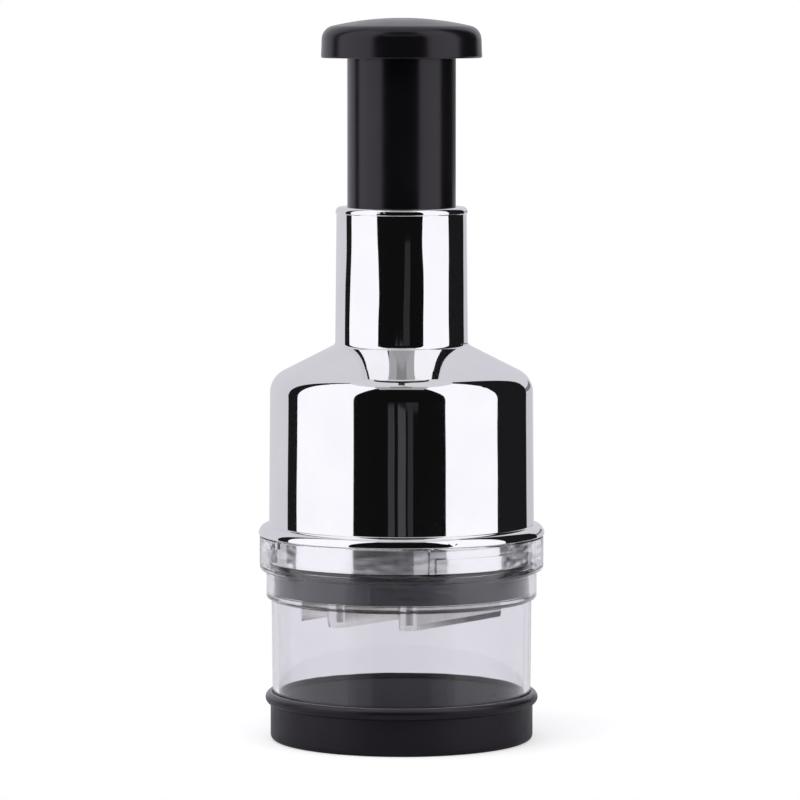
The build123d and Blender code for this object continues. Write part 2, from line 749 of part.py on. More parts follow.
with BuildPart() as lift_washer:
    with BuildSketch(Plane.XY.offset(journal_top_z)):
        Circle(lift_washer_r)
        Circle(large_screw_r + push_fit, mode=Mode.SUBTRACT)
    extrude(amount=lift_washer_t)
lift_washer.part.label = "lift_washer"
export_step(lift_washer.part, "parts/lift_washer.step")

# Screw that holds the spindle to the web
spindle_head_z = journal_top_z + lift_washer_t
with BuildPart() as spindle_screw:
    with BuildSketch(Plane.XY.offset(spindle_head_z)):
        Circle(large_head_r)
    extrude(amount=large_head_h)
    fillet(spindle_screw.edges().filter_by(GeomType.CIRCLE).group_by(Axis.Z)[-1], radius=large_head_h / 3)
    with BuildSketch(Plane.XY.offset(spindle_head_z)):
        Circle(large_screw_r - thread_gap)
    extrude(amount=-lift_washer_t - spindle_bite)
    with BuildSketch(Plane.XY.offset(spindle_head_z + large_head_h)):
        Rectangle(large_slot_l, large_slot_w)
        Rectangle(large_slot_w, large_slot_l)
    extrude(amount=-large_slot_d, mode=Mode.SUBTRACT)
spindle_screw.part.label = "spindle_screw"
export_step(spindle_screw.part, "parts/spindle_screw.step")

# Drive nut: hub with a twisted square bore and a ratchet wheel
tooth_points = []
tooth_pitch = 360.0 / tooth_count
for tooth in range(tooth_count):
    tooth_points.append(polar(tooth_tip_r, tooth_pitch * tooth))
    tooth_points.append(polar((tooth_tip_r + tooth_root_r) / 2, tooth_pitch * (tooth + 0.5)))
    tooth_points.append(polar(tooth_root_r, tooth_pitch * (tooth + 1) - tooth_lean))
nut_hub_z = nut_top_z - hub_lip - wheel_gap
with BuildPart() as drive_nut:
    with BuildSketch(Plane.XY.offset(ratchet_z0)):
        with BuildLine():
            Polyline(*tooth_points, close=True)
        make_face()
    extrude(amount=ratchet_t)
    with BuildSketch(Plane.XY.offset(ratchet_z0)):
        Circle(nut_r)
    extrude(amount=nut_hub_z - ratchet_z0)
    for step in range(bore_steps + 1):
        up = ratchet_z0 - root + (nut_top_z - ratchet_z0 + root) * step / bore_steps
        facing = polar(1, twist_per_mm * (up - bar_low_z))
        with BuildSketch(Plane(origin=(0, 0, up), x_dir=(facing[0], facing[1], 0), z_dir=(0, 0, 1))):
            Rectangle(bar_side + 2 * twist_gap, bar_side + 2 * twist_gap)
            Circle(bar_corner_r + twist_gap, mode=Mode.INTERSECT)
    loft(mode=Mode.SUBTRACT)
drive_nut.part.label = "drive_nut"
export_step(drive_nut.part, "parts/drive_nut.step")

# Pawl ring: keyed ring with three spring arms that rest in the ratchet teeth
pawl_ring_r = pocket_r - push_fit
with BuildPart() as pawl_ring:
    with BuildSketch(Plane.XY.offset(ratchet_z0)):
        Circle(pawl_ring_r)
        Circle(pawl_ring_r - pawl_ring_wall, mode=Mode.SUBTRACT)
        with PolarLocations(pocket_r, lug_count, start_angle=90):
            Rectangle(2 * key_in, key_w)
        for arm in range(lug_count):
            tip = 360.0 * (arm + 1) / lug_count - pawl_lag
            anchor_r = pawl_ring_r - pawl_ring_wall / 2
            with BuildLine():
                Polyline(
                    polar(tooth_root_r + pawl_tip_gap, tip),
                    polar(tooth_root_r + pawl_tip_gap + pawl_tip_t, tip),
                    polar(anchor_r, tip - pawl_reach),
                    polar(anchor_r, tip - pawl_root),
                    close=True,
                )
            make_face()
    extrude(amount=ratchet_t - wheel_gap)
pawl_ring.part.label = "pawl_ring"
export_step(pawl_ring.part, "parts/pawl_ring.step")

# Retainer plate below the ratchet with three countersunk screws
with BuildPart() as nut_retainer:
    with BuildSketch(Plane.XY.offset(retainer_z0)):
        Circle(pocket_out_r)
        Circle(drive_hole_r, mode=Mode.SUBTRACT)
    extrude(amount=retainer_t)
    for turn in range(lug_count):
        spot = polar(pin_at_r, boss_turn + 360.0 * turn / lug_count)
        with BuildSketch(Plane(origin=(spot[0], spot[1], 0), x_dir=(1, 0, 0), z_dir=(0, -1, 0))):
            with BuildLine():
                Polyline(
                    (0, retainer_z0),
                    (pin_head_r + push_fit, retainer_z0),
                    (pin_head_r + push_fit, retainer_z0 + pin_land),
                    (pin_r + push_fit, retainer_z0 + pin_land + pin_cone),
                    (pin_r + push_fit, pocket_z0),
                    (0, pocket_z0),
                    close=True,
                )
            make_face()
        revolve(axis=Axis((spot[0], spot[1], 0), (0, 0, 1)), mode=Mode.SUBTRACT)
nut_retainer.part.label = "nut_retainer"
export_step(nut_retainer.part, "parts/nut_retainer.step")

with BuildPart() as retainer_screws:
    for turn in range(lug_count):
        spot = polar(pin_at_r, boss_turn + 360.0 * turn / lug_count)
        with BuildSketch(Plane(origin=(spot[0], spot[1], 0), x_dir=(1, 0, 0), z_dir=(0, -1, 0))):
            with BuildLine():
                Polyline(
                    (0, retainer_z0 + pin_land),
                    (pin_head_r, retainer_z0 + pin_land),
                    (pin_r, retainer_z0 + pin_land + pin_cone),
                    (pin_r, pocket_z0 + pin_bite - pin_r),
                    (0, pocket_z0 + pin_bite),
                    close=True,
                )
            make_face()
        revolve(axis=Axis((spot[0], spot[1], 0), (0, 0, 1)))
retainer_screws.part.label = "retainer_screws"
export_step(retainer_screws.part, "parts/retainer_screws.step")

# Blade: one folded strip with a ground lower edge
strip_end = polar(carrier_r - end_in, end_turn)
front_fold = polar(carrier_r - front_fold_in, front_fold_turn)
back_fold = polar(carrier_r - back_fold_in, back_fold_turn)
blade_half = [
    strip_end,
    front_fold,
    beyond(front_fold, 2 * blade_bend_r + front_fold_flat, front_fold_dir),
    back_fold,
    beyond(back_fold, 2 * blade_bend_r + back_fold_flat, back_fold_dir),
]
blade_path = blade_half + [(-x, -y) for x, y in reversed(blade_half)]
with BuildPart() as zigzag_blade:
    with BuildSketch(Plane.XY.offset(blade_low_z)):
        with BuildLine():
            FilletPolyline(*blade_path, radius=blade_bend_r)
        trace(line_width=blade_t)
    extrude(amount=blade_top_z - blade_low_z)
    low_edges = zigzag_blade.edges().group_by(Axis.Z)[0].filter_by(lambda e: e.length > blade_t * 1.5)
    low_face = zigzag_blade.faces().sort_by(Axis.Z)[0]
    chamfer(low_edges, length=blade_edge, length2=blade_bevel, reference=low_face)
zigzag_blade.part.label = "zigzag_blade"
export_step(zigzag_blade.part, "parts/zigzag_blade.step")

# Carrier: disc with a groove that holds the strip and a boss for the spindle
with BuildPart() as blade_carrier:
    with BuildSketch(Plane.XY.offset(carrier_z0)):
        Circle(carrier_r)
    extrude(amount=carrier_t)
    with BuildSketch(Plane.XY.offset(carrier_z1 - root)):
        Circle(spin_flange_r)
    extrude(amount=carrier_boss_h + root)
    with BuildSketch(Plane.XY.offset(carrier_z0)):
        with BuildLine():
            FilletPolyline(*blade_path, radius=blade_bend_r)
        trace(line_width=blade_t + 2 * blade_fit)
    extrude(amount=blade_hold + blade_fit, mode=Mode.SUBTRACT)
    with BuildSketch(Plane.XY.offset(carrier_boss_z)):
        with PolarLocations(screw_at_r, lug_count, start_angle=screw_turn):
            Circle(small_screw_r)
    extrude(amount=-small_bite - thread_gap, mode=Mode.SUBTRACT)
blade_carrier.part.label = "blade_carrier"
export_step(blade_carrier.part, "parts/blade_carrier.step")

with BuildPart() as carrier_screws:
    with BuildSketch(Plane.XY.offset(spin_flange_z)):
        with PolarLocations(screw_at_r, lug_count, start_angle=screw_turn):
            Circle(small_head_r)
    extrude(amount=small_head_h)
    fillet(carrier_screws.edges().filter_by(GeomType.CIRCLE).group_by(Axis.Z)[-1], radius=small_head_h / 3)
    with BuildSketch(Plane.XY.offset(spin_flange_z)):
        with PolarLocations(screw_at_r, lug_count, start_angle=screw_turn):
            Circle(small_screw_r - thread_gap)
    extrude(amount=-spin_flange_t - small_bite)
    with BuildSketch(Plane.XY.offset(spin_flange_z + small_head_h)):
        with PolarLocations(screw_at_r, lug_count, start_angle=screw_turn):
            Rectangle(small_slot_l, small_slot_w)
            Rectangle(small_slot_w, small_slot_l)
    extrude(amount=-small_slot_d, mode=Mode.SUBTRACT)
carrier_screws.part.label = "carrier_screws"
export_step(carrier_screws.part, "parts/carrier_screws.step")

# Stripper: shallow tray in the cup step, slotted for the blade
slot_path = list(blade_path)
for end, beside in ((0, 1), (-1, -2)):
    away = math.degrees(math.atan2(
        blade_path[end][1] - blade_path[beside][1], blade_path[end][0] - blade_path[beside][0]))
    slot_path[end] = beyond(blade_path[end], slot_gap, away)
with BuildPart() as stripper_plate:
    with BuildSketch(Plane.XZ) as strip_profile:
        with BuildLine():
            Polyline(
                (0, strip_z0),
                (strip_r, strip_z0),
                (strip_r, strip_z1),
                (strip_r - strip_wall, strip_z1),
                (strip_r - strip_wall, strip_z0 + strip_floor_t),
                (0, strip_z0 + strip_floor_t),
                close=True,
            )
        make_face()
        fillet(near(strip_profile.vertices(), strip_r, strip_z0), radius=strip_floor_t / 3)
        fillet(near(strip_profile.vertices(), strip_r, strip_z1), radius=strip_wall / 4)
        fillet(
            near(strip_profile.vertices(), strip_r - strip_wall, strip_z0 + strip_floor_t),
            radius=strip_wall / 2,
        )
    revolve(axis=Axis.Z)
    with BuildSketch(Plane.XY.offset(strip_z0)):
        with BuildLine():
            FilletPolyline(*slot_path, radius=blade_bend_r)
        trace(line_width=blade_t + 2 * slot_gap)
    extrude(amount=strip_floor_t, mode=Mode.SUBTRACT)
stripper_plate.part.label = "stripper_plate"
export_step(stripper_plate.part, "parts/stripper_plate.step")
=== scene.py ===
import json
import math

import bmesh
import bpy
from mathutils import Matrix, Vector


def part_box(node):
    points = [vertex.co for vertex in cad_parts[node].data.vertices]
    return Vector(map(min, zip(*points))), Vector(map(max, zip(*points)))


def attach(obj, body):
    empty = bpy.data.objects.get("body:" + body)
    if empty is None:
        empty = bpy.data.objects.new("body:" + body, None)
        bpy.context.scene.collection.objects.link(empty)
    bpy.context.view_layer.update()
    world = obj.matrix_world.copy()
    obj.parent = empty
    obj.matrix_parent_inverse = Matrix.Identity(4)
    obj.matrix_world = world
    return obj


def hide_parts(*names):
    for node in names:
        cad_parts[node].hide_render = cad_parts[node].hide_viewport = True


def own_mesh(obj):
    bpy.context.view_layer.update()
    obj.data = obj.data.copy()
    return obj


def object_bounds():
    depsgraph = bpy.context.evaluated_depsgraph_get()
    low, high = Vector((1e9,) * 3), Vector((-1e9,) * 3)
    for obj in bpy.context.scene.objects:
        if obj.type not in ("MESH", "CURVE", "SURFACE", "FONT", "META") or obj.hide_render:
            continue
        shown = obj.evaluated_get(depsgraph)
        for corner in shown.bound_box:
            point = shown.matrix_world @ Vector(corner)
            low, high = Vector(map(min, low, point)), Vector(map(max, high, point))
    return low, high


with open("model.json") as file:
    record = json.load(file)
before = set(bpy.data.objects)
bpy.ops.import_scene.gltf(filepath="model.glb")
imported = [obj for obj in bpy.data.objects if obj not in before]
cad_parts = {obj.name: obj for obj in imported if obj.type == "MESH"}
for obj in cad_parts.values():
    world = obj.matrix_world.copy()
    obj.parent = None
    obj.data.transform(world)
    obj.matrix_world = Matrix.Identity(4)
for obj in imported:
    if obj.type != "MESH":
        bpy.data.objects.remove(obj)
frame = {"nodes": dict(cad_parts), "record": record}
cad_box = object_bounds()
nodes = frame["nodes"]
scene = bpy.context.scene
scene.view_settings.view_transform = "Standard"

# Camera: a long lens at the height of the knob, looking slightly down
LENS_MM = 217.2
SENSOR_MM = 36.0
CAMERA_REACH = 1.525
CAMERA_TILT_DEG = 4.64
AIM = Vector((-0.0005, 0.0, 0.1076))

# Studio: a ring of curved cards round the object, seen only in reflections.
# Angles are in degrees from the camera's side, positive to its right. Lengths are in metres.
RING_RADIUS = 1.0
RING_INSET = 0.01       # each layer of cards hangs this far in front of the one behind it
RING_STEP_DEG = 3.0     # width of one flat face of a curved card
RING_LOW = -1.3
RING_HIGH = 2.3
CUP_FOOT = -0.135       # from here up a card shows in the clear cup, seen by the camera
CUP_LEVEL = -0.06       # from here up in the skirt inside the collar
COLLAR_LEVEL = -0.043   # from here up in the body
NECK_LEVEL = 0.046      # from here up in the neck
TUBE_LEVEL = 0.133      # from here up in the plunger tube
TUBE_END = 0.225
FLAG_BEND = 0.5         # above it the flags taper
SOFT = (0.965, 0.957, 1.0)
PALE = (0.94, 0.93, 1.0)
DARK = (0.95, 0.92, 1.0)
COOL = (0.97, 0.97, 1.0)
SCREENS = [
    # name, first angle, last angle, colour, strength
    ("right_softbox", 30.0, 118.0, SOFT, 1.06),
    ("back_screen", 118.0, 248.0, PALE, 0.7),
    ("left_softbox", 248.0, 330.0, SOFT, 1.06),
]
FLAGS = [
    # name, first and last angle at the foot, first and last angle at the top, strength
    ("front_flag", -41.2, 37.8, -30.0, 28.0, 0.005),
    ("right_flag", 90.3, 138.6, 105.0, 124.0, 0.011),
    ("left_flag", 244.4, 258.4, 248.0, 256.0, 0.011),
]
DIMMERS = [
    # first angle, last angle, lower edge, upper edge, colour, strength
    (138.6, 161.0, CUP_LEVEL, TUBE_LEVEL, PALE, 0.62),
    (138.6, 161.0, TUBE_LEVEL, TUBE_END, PALE, 0.2),
    (-11.5, -6.0, COLLAR_LEVEL, NECK_LEVEL, DARK, 0.042),
    (-3.2, 3.2, COLLAR_LEVEL, NECK_LEVEL, DARK, 0.06),
    (5.0, 9.5, COLLAR_LEVEL, NECK_LEVEL, DARK, 0.03),
    (3.5, 14.0, NECK_LEVEL, TUBE_LEVEL, DARK, 0.027),
    (-41.2, 10.0, CUP_LEVEL, COLLAR_LEVEL, SOFT, 0.12),
    (10.0, 37.8, CUP_LEVEL, COLLAR_LEVEL, SOFT, 0.8),
    (90.3, 138.6, CUP_LEVEL, COLLAR_LEVEL, SOFT, 0.22),
    (244.4, 258.4, CUP_LEVEL, COLLAR_LEVEL, SOFT, 0.3),
    (90.3, 138.6, CUP_FOOT, CUP_LEVEL, SOFT, 1.0),
    (138.6, 244.4, CUP_FOOT, CUP_LEVEL, SOFT, 0.85),
    (244.4, 258.4, CUP_FOOT, CUP_LEVEL, SOFT, 1.0),
]
FADES = [
    # soft inner edges of both softboxes in the clear cup: first angle, last angle, strength
    (26.0, 33.0, 0.28),
    (33.0, 40.0, 0.43),
    (40.0, 48.0, 0.7),
]
FILLS = [
    # light for the blade and skirt alone, which fades out downwards:
    # first angle, last angle, lower edge, upper edge, strength
    (-48.0, -26.0, CUP_FOOT, CUP_LEVEL, 0.75),
    (-26.0, 26.0, CUP_FOOT, CUP_LEVEL, 0.6),
    (26.0, 48.0, CUP_FOOT, CUP_LEVEL, 0.75),
    (-48.0, 48.0, -0.17, CUP_FOOT, 0.42),
    (-48.0, 48.0, -0.21, -0.17, 0.28),
    (-48.0, 48.0, -0.26, -0.21, 0.14),
]
CANOPY = [
    # small overhead cards that the neck shows in the shoulder:
    # first x, last x, first y, last y, strength
    (-0.066, 0.066, -0.155, -0.125, 0.37),
    (-0.066, -0.026, -0.125, -0.092, 0.42),
    (-0.026, 0.026, -0.125, -0.107, 0.26),
    (-0.026, 0.026, -0.107, -0.092, 0.2),
    (0.026, 0.066, -0.125, -0.092, 0.42),
]
CANOPY_Z = 0.3
CEILING_RADIUS = 1.05
CEILING_STRENGTH = 0.7
FLOOR_RADIUS = 0.13
FLOOR_ALBEDO = 0.74
FLOOR_GLOW = 0.5
DISC_SEGMENTS = 128
AMBIENT = 0.5
WHITE = 1.0
FIRST_BOUNCE = 0.5      # a ray's depth is below it before its first bounce
KEY_POWER = 7.0
KEY_SIZE = 1.0
KEY_PLACE = Vector((-0.12, -0.6, 1.3))

# The part of a noise that is spread over a finish's range
NOISE_LOW = 0.3
NOISE_HIGH = 0.7

# Chrome: plating waves are faint on the body and stronger on the neck,
# and the skirt inside the collar is left as moulded, so its plating is duller
CHROME_ROUGHNESS = (0.02, 0.05)
CHROME_WAVE = 0.0006
CHROME_WAVE_SCALE = 62.0
CHROME_WAVE_STRETCH = (1.0, 1.0, 0.5)   # the waves run up and down more than round
BODY_WAVE_SHARE = 0.12
BODY_TOP = 0.126
NECK_FOOT = 0.142
SKIRT_TOP = 0.065
SKIRT_BLEND = 0.0003
SKIRT_ROUGHNESS = 0.085

# Base cap: a matt chopping board inside, and a lip whose upper edge is smoother and carries a
# painted highlight, a lighter colour standing in for the light it catches
BOARD_RADIUS = 0.0385
BOARD_BLEND = 0.0005
BOARD_ROUGHNESS = 0.72
LIP_EDGE = 0.0139
LIP_TOP = 0.0146
LIP_ROUGHNESS = 0.2
# painted highlight: the lip's upper edge is given this lighter colour in place of the light it
# catches
LIP_PAINTED_HIGHLIGHT = (0.042, 0.039, 0.045, 1.0)

# Clear cup: a grey cast in the wall and step, little in the collar, whose surface is wavier
CUP_IOR = 1.45
CUP_ROUGHNESS = (0.0, 0.02)
CUP_SHADOW = (0.86, 0.86, 0.89, 1.0)    # tint of the light that goes straight through
COLLAR_LOW = 0.0525
COLLAR_HIGH = 0.0545
COLLAR_WAVE = 0.00012
COLLAR_WAVE_SCALE = 170.0
COLLAR_WAVE_STRETCH = (0.6, 0.6, 1.4)   # the waves run round more than up and down
WALL_WAVE_SHARE = 0.12

# Return spring: a coil with closed end turns, in place of the CAD coil, which has an even pitch
SPRING_NODE = "return_spring"
SPRING_WIRE = 0.0016
SPRING_TURNS = 11.5
SPRING_END_TURNS = 1.0
SPRING_STEPS_PER_TURN = 28
SPRING_SIDES = 10


def node_tree(name):
    """A new material, its tree and its shader."""
    made = bpy.data.materials.new(name)
    made.use_nodes = True
    return made, made.node_tree, made.node_tree.nodes["Principled BSDF"]


def grain(tree, scale, detail=3.0, stretch=(1.0, 1.0, 1.0)):
    """A noise over the piece's own coordinates, in metres, and its output socket."""
    place = tree.nodes.new("ShaderNodeTexCoord")
    grid = tree.nodes.new("ShaderNodeMapping")
    noise = tree.nodes.new("ShaderNodeTexNoise")
    grid.inputs["Scale"].default_value = stretch
    noise.inputs["Scale"].default_value = scale
    noise.inputs["Detail"].default_value = detail
    tree.links.new(place.outputs["Object"], grid.inputs["Vector"])
    tree.links.new(grid.outputs["Vector"], noise.inputs["Vector"])
    return noise.outputs["Fac"]


def spread(tree, source, low, high, target):
    """Feeds target with source's middle range, mapped to low..high."""
    mapped = tree.nodes.new("ShaderNodeMapRange")
    mapped.inputs["From Min"].default_value = NOISE_LOW
    mapped.inputs["From Max"].default_value = NOISE_HIGH
    mapped.inputs["To Min"].default_value = low
    mapped.inputs["To Max"].default_value = high
    tree.links.new(source, mapped.inputs["Value"])
    tree.links.new(mapped.outputs["Result"], target)


def tint(tree, source, dark, light, target):
    """Feeds target with a colour between dark and light."""
    ramp = tree.nodes.new("ShaderNodeValToRGB")
    ramp.color_ramp.elements[0].position = NOISE_LOW
    ramp.color_ramp.elements[1].position = NOISE_HIGH
    ramp.color_ramp.elements[0].color = (*dark, 1.0)
    ramp.color_ramp.elements[1].color = (*light, 1.0)
    tree.links.new(source, ramp.inputs["Fac"])
    tree.links.new(ramp.outputs["Color"], target)


def relief(tree, shader, source, height):
    """Bumps shader by source, height metres deep."""
    bump = tree.nodes.new("ShaderNodeBump")
    bump.inputs["Distance"].default_value = height
    tree.links.new(source, bump.inputs["Height"])
    tree.links.new(bump.outputs["Normal"], shader.inputs["Normal"])


def by_height(tree, low, high, first, last):
    """A socket that goes from first to last between two heights on the piece."""
    place = tree.nodes.new("ShaderNodeTexCoord")
    split = tree.nodes.new("ShaderNodeSeparateXYZ")
    mapped = tree.nodes.new("ShaderNodeMapRange")
    mapped.inputs["From Min"].default_value = low
    mapped.inputs["From Max"].default_value = high
    mapped.inputs["To Min"].default_value = first
    mapped.inputs["To Max"].default_value = last
    tree.links.new(place.outputs["Object"], split.inputs["Vector"])
    tree.links.new(split.outputs["Z"], mapped.inputs["Value"])
    return mapped.outputs["Result"]


def combine(tree, operation, first, second):
    """A socket that joins two sockets, or a socket and a number, by one operation."""
    joined = tree.nodes.new("ShaderNodeMath")
    joined.operation = operation
    tree.links.new(first, joined.inputs[0])
    if isinstance(second, float):
        joined.inputs[1].default_value = second
    else:
        tree.links.new(second, joined.inputs[1])
    return joined.outputs["Value"]


def chrome():
    """Mirror plating: wavy on the neck, dull on the skirt."""
    made, tree, shader = node_tree("chrome_plating")
    shader.inputs["Metallic"].default_value = 1.0
    tint(
        tree, grain(tree, 60.0), (0.9, 0.9, 0.915), (0.945, 0.945, 0.95),
        shader.inputs["Base Color"])
    blur = tree.nodes.new("ShaderNodeMath")
    blur.operation = "MAXIMUM"
    spread(tree, grain(tree, 900.0, 5.0), *CHROME_ROUGHNESS, blur.inputs[0])
    skirt = by_height(tree, SKIRT_TOP, SKIRT_TOP + SKIRT_BLEND, SKIRT_ROUGHNESS, 0.0)
    tree.links.new(skirt, blur.inputs[1])
    tree.links.new(blur.outputs["Value"], shader.inputs["Roughness"])
    share = by_height(tree, BODY_TOP, NECK_FOOT, BODY_WAVE_SHARE, 1.0)
    waves = grain(tree, CHROME_WAVE_SCALE, 1.0, CHROME_WAVE_STRETCH)
    relief(tree, shader, combine(tree, "MULTIPLY", share, waves), CHROME_WAVE)
    return made


def clear_plastic():
    """Clear moulding that lets light through to what stands in it."""
    made, tree, shader = node_tree("clear_styrene")
    shader.inputs["Transmission Weight"].default_value = 1.0
    shader.inputs["IOR"].default_value = CUP_IOR
    cast = tree.nodes.new("ShaderNodeMix")
    cast.data_type = "RGBA"
    cloud = grain(tree, 35.0)
    tint(tree, cloud, (0.815, 0.81, 0.85), (0.845, 0.84, 0.88), cast.inputs["A"])
    tint(tree, cloud, (0.955, 0.955, 0.97), (0.975, 0.975, 0.985), cast.inputs["B"])
    tree.links.new(by_height(tree, COLLAR_LOW, COLLAR_HIGH, 0.0, 1.0), cast.inputs["Factor"])
    tree.links.new(cast.outputs["Result"], shader.inputs["Base Color"])
    spread(tree, grain(tree, 420.0, 4.0), *CUP_ROUGHNESS, shader.inputs["Roughness"])
    share = by_height(tree, COLLAR_LOW, COLLAR_HIGH, WALL_WAVE_SHARE, 1.0)
    waves = grain(tree, COLLAR_WAVE_SCALE, 1.0, COLLAR_WAVE_STRETCH)
    relief(tree, shader, combine(tree, "MULTIPLY", share, waves), COLLAR_WAVE)
    path = tree.nodes.new("ShaderNodeLightPath")
    clear = tree.nodes.new("ShaderNodeBsdfTransparent")
    mix = tree.nodes.new("ShaderNodeMixShader")
    clear.inputs["Color"].default_value = CUP_SHADOW
    tree.links.new(path.outputs["Is Shadow Ray"], mix.inputs["Fac"])
    tree.links.new(shader.outputs["BSDF"], mix.inputs[1])
    tree.links.new(clear.outputs["BSDF"], mix.inputs[2])
    tree.links.new(mix.outputs["Shader"], tree.nodes["Material Output"].inputs["Surface"])
    return made


def moulded(name, dark, light, roughness, grain_height, specular=0.5, gloss_tint=(1.0, 1.0, 1.0)):
    """Injection-moulded plastic: cloudy colour, fine grain, gloss that varies a little."""
    made, tree, shader = node_tree(name)
    shader.inputs["Specular IOR Level"].default_value = specular
    shader.inputs["Specular Tint"].default_value = (*gloss_tint, 1.0)
    tint(tree, grain(tree, 70.0), dark, light, shader.inputs["Base Color"])
    spread(tree, grain(tree, 160.0, 5.0), *roughness, shader.inputs["Roughness"])
    relief(tree, shader, grain(tree, 1400.0, 2.0), grain_height)
    return made


def board_and_lip(made):
    """Makes the middle of the base cap rougher than its wall, and makes the lip's upper edge
    smoother, with a painted highlight: a lighter colour there.
    """
    tree = made.node_tree
    shader = tree.nodes["Principled BSDF"]
    gloss = shader.inputs["Roughness"].links[0].from_socket
    paint = shader.inputs["Base Color"].links[0].from_socket
    # mask of the lip's upper edge, where it is smoother and carries a painted highlight
    smooth_painted_edge = by_height(tree, LIP_EDGE, LIP_TOP, 0.0, 1.0)

    place = tree.nodes.new("ShaderNodeTexCoord")
    flat = tree.nodes.new("ShaderNodeMapping")
    reach = tree.nodes.new("ShaderNodeVectorMath")
    inside = tree.nodes.new("ShaderNodeMapRange")
    flat.inputs["Scale"].default_value = (1.0, 1.0, 0.0)
    reach.operation = "LENGTH"
    inside.inputs["From Min"].default_value = BOARD_RADIUS - BOARD_BLEND
    inside.inputs["From Max"].default_value = BOARD_RADIUS
    inside.inputs["To Min"].default_value = BOARD_ROUGHNESS
    tree.links.new(place.outputs["Object"], flat.inputs["Vector"])
    tree.links.new(flat.outputs["Vector"], reach.inputs[0])
    tree.links.new(reach.outputs["Value"], inside.inputs["Value"])
    tree.links.new(gloss, inside.inputs["To Max"])

    edge = tree.nodes.new("ShaderNodeMix")
    edge.inputs["B"].default_value = LIP_ROUGHNESS
    tree.links.new(smooth_painted_edge, edge.inputs["Factor"])
    tree.links.new(inside.outputs["Result"], edge.inputs["A"])
    tree.links.new(edge.outputs["Result"], shader.inputs["Roughness"])

    # painted highlight: a lighter colour mixed in on the lip's upper edge
    pale = tree.nodes.new("ShaderNodeMix")
    pale.data_type = "RGBA"
    pale.inputs["B"].default_value = LIP_PAINTED_HIGHLIGHT
    tree.links.new(smooth_painted_edge, pale.inputs["Factor"])
    tree.links.new(paint, pale.inputs["A"])
    tree.links.new(pale.outputs["Result"], shader.inputs["Base Color"])
    return made


def steel(name, dark, light, roughness, stretch, line_height, line_scale=2600.0):
    """Metal with fine drawn or ground lines along one direction."""
    made, tree, shader = node_tree(name)
    shader.inputs["Metallic"].default_value = 1.0
    lines = grain(tree, line_scale, 2.0, stretch)
    tint(tree, grain(tree, 240.0, 4.0), dark, light, shader.inputs["Base Color"])
    spread(tree, lines, *roughness, shader.inputs["Roughness"])
    relief(tree, shader, lines, line_height)
    return made


def dress_nodes():
    """One finish for each material slot of the record, set on every node that names it."""
    finishes = {
        "chrome": chrome(),
        "clear_plastic": clear_plastic(),
        "plunger_black": moulded(
            "plunger_black", (0.0042, 0.0039, 0.0052), (0.0062, 0.0057, 0.0074),
            (0.19, 0.24), 0.000002, gloss_tint=(0.96, 0.88, 1.0)),
        "base_black": board_and_lip(moulded(
            "base_black", (0.0046, 0.0036, 0.0064), (0.007, 0.0058, 0.009),
            (0.34, 0.44), 0.000004, specular=0.34, gloss_tint=(0.93, 0.83, 1.0))),
        "stripper_black": moulded(
            "stripper_black", (0.022, 0.0215, 0.0245), (0.034, 0.0332, 0.0375),
            (0.34, 0.42), 0.000002, specular=1.0, gloss_tint=(0.97, 0.93, 1.0)),
        "frame_grey": moulded(
            "frame_grey", (0.13, 0.13, 0.14), (0.17, 0.17, 0.18), (0.4, 0.5), 0.000004),
        "acetal_white": moulded(
            "acetal_white", (0.78, 0.77, 0.72), (0.85, 0.84, 0.8), (0.3, 0.38), 0.000003),
        "seal_rubber": moulded(
            "seal_rubber", (0.02, 0.02, 0.022), (0.032, 0.032, 0.034), (0.55, 0.68), 0.000006),
        "blade_steel": steel(
            "blade_steel", (0.81, 0.79, 0.75), (0.88, 0.86, 0.82), (0.14, 0.2),
            (1.0, 1.0, 0.05), 0.0000001, 1500.0),
        "screw_steel": steel(
            "screw_steel", (0.55, 0.56, 0.58), (0.66, 0.66, 0.68), (0.24, 0.36),
            (1.0, 1.0, 1.0), 0.000001),
        "spring_steel": steel(
            "spring_steel", (0.5, 0.5, 0.51), (0.6, 0.6, 0.61), (0.22, 0.34),
            (0.2, 0.2, 1.0), 0.000001),
    }
    for part in frame["record"]["subparts"]:
        mesh = nodes[part["node"]].data
        mesh.materials.clear()
        mesh.materials.append(finishes[part["material_slot"]])
    return finishes


